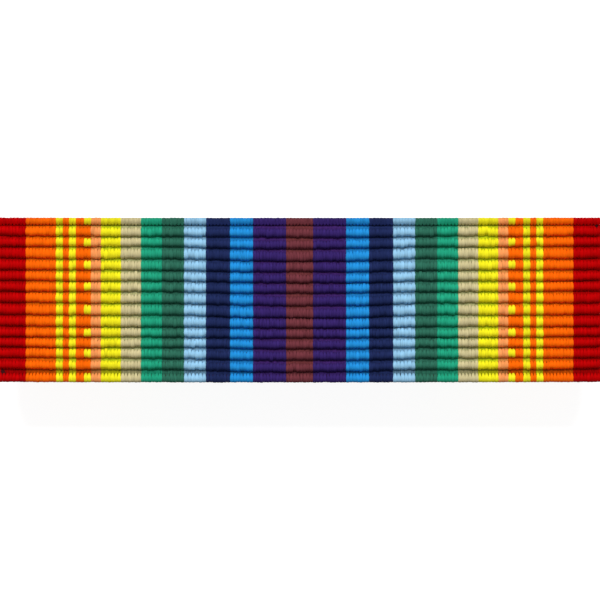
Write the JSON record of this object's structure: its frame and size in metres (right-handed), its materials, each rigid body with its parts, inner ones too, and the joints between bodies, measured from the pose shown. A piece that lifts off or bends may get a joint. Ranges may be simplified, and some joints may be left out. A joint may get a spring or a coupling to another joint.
{
  "type": "ribbon bar",
  "caption": "Narrow brass bar wound with a ribbed, rainbow-striped woven ribbon, with a soldered hinge and catch and a sprung wire pin on its back.",
  "frame": {"origin": "middle of the plane that the hinge's ears and the catch rest on, with the bar lying on its back", "axes": "+X along the bar, with the hinge at the low end and the catch at the high end; +Y to the upper edge of the face; +Z out of the ribbon's face"},
  "size_m": [0.035, 0.0096, 0.0054],
  "materials": {
    "ribbon": "warp-faced woven ribbon with round ribs and lengthwise stripes, slight silk sheen",
    "brass": "satin, slightly tarnished",
    "pin_wire": "drawn, nickel-plated spring wire"
  },
  "bodies": {
    "root": {"ribbon": "ribbon", "bar": "brass", "pin": "pin_wire"}
  },
  "joints": []
}
